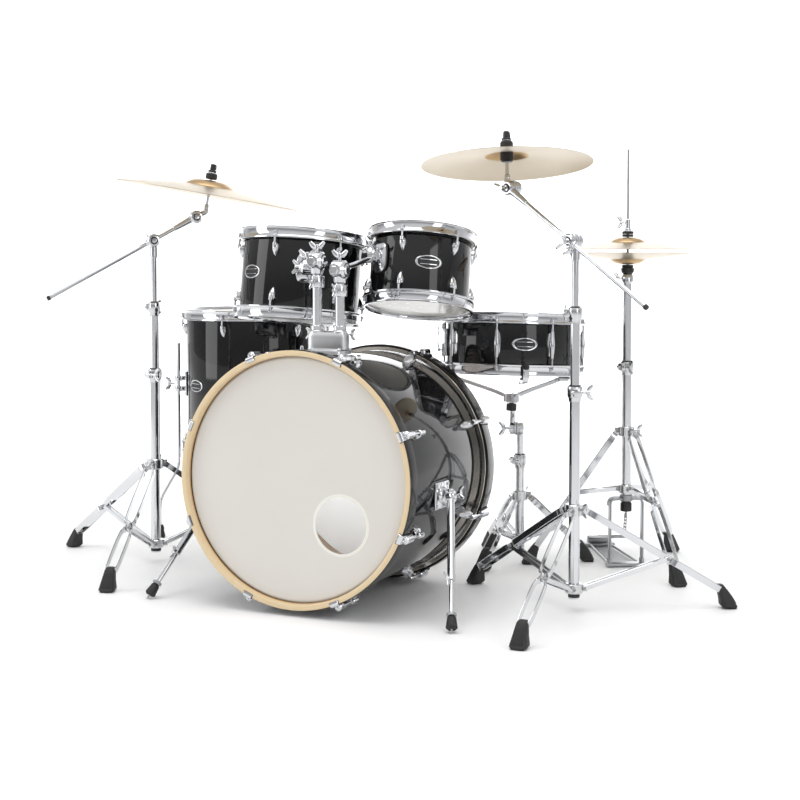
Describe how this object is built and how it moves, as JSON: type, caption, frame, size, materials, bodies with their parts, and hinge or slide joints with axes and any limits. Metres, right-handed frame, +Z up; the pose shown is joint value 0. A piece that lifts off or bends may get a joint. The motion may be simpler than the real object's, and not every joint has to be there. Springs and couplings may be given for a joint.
{
  "type": "acoustic drum kit",
  "caption": "Acoustic drum kit: black bass drum, rack toms, floor tom and snare on stands, hi-hats, boom cymbal stands and a kick pedal.",
  "frame": {"origin": "on the floor, under the middle of the kit's box", "axes": "+X to the right as the audience sees the kit, +Y from the audience to the drummer, +Z up"},
  "size_m": [1.8716, 1.2062, 1.1076],
  "materials": {
    "black_wrap": "jet black high gloss wrap on a wooden shell",
    "chrome": "polished chrome plate",
    "natural_hoop": "clear lacquered maple hoop with black edges",
    "black_hoop": "black lacquered wooden hoop",
    "coated_head": "warm white coated polyester film",
    "clear_head": "hazy translucent polyester film",
    "bronze": "lathed bronze, fine concentric grooves",
    "steel": "plain nickelled steel",
    "rubber": "black moulded rubber",
    "felt": "black pressed felt",
    "black_plastic": "black moulded nylon",
    "bare_wood": "bare plywood inside the shells"
  },
  "bodies": {
    "kit": {"bass_drum_shell": "black_wrap", "bass_drum_front_head": "coated_head", "bass_drum_front_hoop": "natural_hoop", "bass_drum_batter_head": "clear_head", "bass_drum_rear_hoop": "black_hoop", "tom_bracket": "chrome", "floor_tom_shell": "black_wrap", "floor_tom_batter_head": "coated_head", "floor_tom_batter_hoop": "chrome", "floor_tom_resonant_head": "clear_head", "floor_tom_resonant_hoop": "chrome", "ride_tripod": "chrome", "crash_tripod": "chrome", "hihat_stand": "chrome", "snare_stand_tripod": "chrome", "kick_pedal_frame": "steel"},
    "spur_left": {"bass_spur_left": "chrome"},
    "spur_right": {"bass_spur_right": "chrome"},
    "large_tom_post": {"large_tom_post": "chrome"},
    "large_tom": {"large_tom_arm": "chrome", "large_tom_shell": "black_wrap", "large_tom_batter_head": "coated_head", "large_tom_batter_hoop": "chrome", "large_tom_resonant_head": "clear_head", "large_tom_resonant_hoop": "chrome"},
    "small_tom_post": {"small_tom_post": "chrome"},
    "small_tom": {"small_tom_arm": "chrome", "small_tom_shell": "black_wrap", "small_tom_batter_head": "coated_head", "small_tom_batter_hoop": "chrome", "small_tom_resonant_head": "clear_head", "small_tom_resonant_hoop": "chrome"},
    "floor_tom_leg_1": {"floor_tom_leg_1": "chrome"},
    "floor_tom_leg_2": {"floor_tom_leg_2": "chrome"},
    "floor_tom_leg_3": {"floor_tom_leg_3": "chrome"},
    "snare_riser": {"snare_stand_upper_tube": "chrome"},
    "snare_drum": {"snare_stand_basket": "chrome", "snare_shell": "black_wrap", "snare_batter_head": "coated_head", "snare_batter_hoop": "chrome", "snare_resonant_head": "clear_head", "snare_resonant_hoop": "chrome"},
    "strainer_lever": {"snare_strainer_lever": "chrome"},
    "hihat_riser": {"hihat_upper_tube": "chrome", "hihat_bottom_cymbal": "bronze"},
    "hihat_rod": {"hihat_pull_rod": "steel", "hihat_top_cymbal": "bronze"},
    "hihat_pedal": {"hihat_footboard": "steel"},
    "kick_pedal": {"kick_pedal_footboard": "steel"},
    "kick_beater": {"kick_pedal_beater": "steel"},
    "ride_middle": {"ride_middle_tube": "chrome"},
    "ride_upper": {"ride_upper_tube": "chrome"},
    "ride_boom": {"ride_boom_arm": "chrome"},
    "ride_tilter": {"ride_cymbal_tilter": "chrome"},
    "ride_cymbal": {"ride_cymbal": "bronze"},
    "crash_middle": {"crash_middle_tube": "chrome"},
    "crash_upper": {"crash_upper_tube": "chrome"},
    "crash_boom": {"crash_boom_arm": "chrome"},
    "crash_tilter": {"crash_cymbal_tilter": "chrome"},
    "crash_cymbal": {"crash_cymbal": "bronze"}
  },
  "joints": [
    {"name": "spur_left_fold", "type": "hinge", "parent": "kit", "child": "spur_left", "pos_m": [-0.2676, -0.32827, 0.26405], "axis": [-0.946, 0, 0.324], "range_deg": [0, 55]},
    {"name": "spur_right_fold", "type": "hinge", "parent": "kit", "child": "spur_right", "pos_m": [0.3362, -0.32827, 0.26405], "axis": [-0.946, 0, -0.324], "range_deg": [0, 55]},
    {"name": "large_tom_swivel", "type": "hinge", "parent": "kit", "child": "large_tom_post", "pos_m": [0.0043, -0.35288, 0.638], "axis": [0, 0, 1], "range_deg": [0, 8]},
    {"name": "large_tom_tilt", "type": "hinge", "parent": "large_tom_post", "child": "large_tom", "pos_m": [0.0043, -0.35288, 0.8], "axis": [0.9707, 0.2402, 0], "range_deg": [-6, 3]},
    {"name": "small_tom_swivel", "type": "hinge", "parent": "kit", "child": "small_tom_post", "pos_m": [0.0643, -0.35288, 0.638], "axis": [0, 0, 1], "range_deg": [-8, 0]},
    {"name": "small_tom_tilt", "type": "hinge", "parent": "small_tom_post", "child": "small_tom", "pos_m": [0.0643, -0.35288, 0.78], "axis": [0.9707, 0.2402, 0], "range_deg": [-6, 3]},
    {"name": "floor_tom_leg_1_height", "type": "slide", "parent": "kit", "child": "floor_tom_leg_1", "axis": [0, 0, 1], "range_m": [0, 0.06]},
    {"name": "floor_tom_leg_2_height", "type": "slide", "parent": "kit", "child": "floor_tom_leg_2", "axis": [0, 0, 1], "range_m": [0, 0.06]},
    {"name": "floor_tom_leg_3_height", "type": "slide", "parent": "kit", "child": "floor_tom_leg_3", "axis": [0, 0, 1], "range_m": [0, 0.06]},
    {"name": "snare_height", "type": "slide", "parent": "kit", "child": "snare_riser", "axis": [0, 0, 1], "range_m": [0, 0.05]},
    {"name": "snare_tilt", "type": "hinge", "parent": "snare_riser", "child": "snare_drum", "pos_m": [0.2773, 0.27912, 0.352], "axis": [-0.9063, -0.4226, 0], "range_deg": [0, 8]},
    {"name": "strainer_lever", "type": "hinge", "parent": "snare_drum", "child": "strainer_lever", "pos_m": [0.09144, 0.16246, 0.56406], "axis": [0.5075, -0.8601, 0.0516], "range_deg": [0, 70]},
    {"name": "hihat_height", "type": "slide", "parent": "kit", "child": "hihat_riser", "axis": [0, 0, 1], "range_m": [0, 0.08]},
    {"name": "hihat_lift", "type": "slide", "parent": "hihat_riser", "child": "hihat_rod", "axis": [0, 0, -1], "range_m": [0, 0.0075]},
    {"name": "hihat_pedal", "type": "hinge", "parent": "kit", "child": "hihat_pedal", "pos_m": [0.40557, 0.55975, 0.024], "axis": [0.848, 0.5299, 0], "range_deg": [0, 8], "stiffness_Nm_per_rad": 10, "springref_deg": -34.38},
    {"name": "kick_pedal", "type": "hinge", "parent": "kit", "child": "kick_pedal", "pos_m": [0.0343, 0.25712, 0.022], "axis": [1, 0, 0], "range_deg": [0, 12.9], "stiffness_Nm_per_rad": 12, "springref_deg": -28.65},
    {"name": "kick_beater", "type": "hinge", "parent": "kit", "child": "kick_beater", "pos_m": [0.0343, 0.00612, 0.205], "axis": [1, 0, 0], "range_deg": [0, 51.6]},
    {"name": "ride_height", "type": "slide", "parent": "kit", "child": "ride_middle", "axis": [0, 0, 1], "range_m": [0, 0.1]},
    {"name": "ride_swivel", "type": "hinge", "parent": "ride_middle", "child": "ride_upper", "pos_m": [-0.5777, -0.16888, 0.677], "axis": [0, 0, 1], "range_deg": [-15, 15]},
    {"name": "ride_boom_tilt", "type": "hinge", "parent": "ride_upper", "child": "ride_boom", "pos_m": [-0.5777, -0.16888, 0.851], "axis": [-0.6644, 0.7474, 0], "range_deg": [-15, 0]},
    {"name": "ride_cymbal_tilt", "type": "hinge", "parent": "ride_boom", "child": "ride_tilter", "pos_m": [-0.49517, -0.0917, 0.91336], "axis": [-0.6644, 0.7474, 0], "range_deg": [-12, 0]},
    {"name": "ride_swing", "type": "hinge", "parent": "ride_tilter", "child": "ride_cymbal", "pos_m": [-0.46394, -0.0702, 1.00695], "axis": [0.7474, 0.6644, 0], "range_deg": [-5, 5], "stiffness_Nm_per_rad": 9},
    {"name": "crash_height", "type": "slide", "parent": "kit", "child": "crash_middle", "axis": [0, 0, 1], "range_m": [0, 0.1]},
    {"name": "crash_swivel", "type": "hinge", "parent": "crash_middle", "child": "crash_upper", "pos_m": [0.5973, -0.22188, 0.684], "axis": [0, 0, 1], "range_deg": [-15, 15]},
    {"name": "crash_boom_tilt", "type": "hinge", "parent": "crash_upper", "child": "crash_boom", "pos_m": [0.5973, -0.22188, 0.846], "axis": [-0.3722, -0.9282, 0], "range_deg": [-15, 0]},
    {"name": "crash_cymbal_tilt", "type": "hinge", "parent": "crash_boom", "child": "crash_tilter", "pos_m": [0.42531, -0.15818, 0.97062], "axis": [-0.3722, -0.9282, 0], "range_deg": [-12, 0]},
    {"name": "crash_swing", "type": "hinge", "parent": "crash_tilter", "child": "crash_cymbal", "pos_m": [0.39769, -0.13883, 1.06065], "axis": [-0.9282, 0.3722, 0], "range_deg": [-5, 5], "stiffness_Nm_per_rad": 9}
  ],
  "couplings": [
    {"joint": "hihat_lift", "follows": "hihat_pedal", "m_per_rad": 0.0515},
    {"joint": "kick_beater", "follows": "kick_pedal", "ratio": 4}
  ]
}
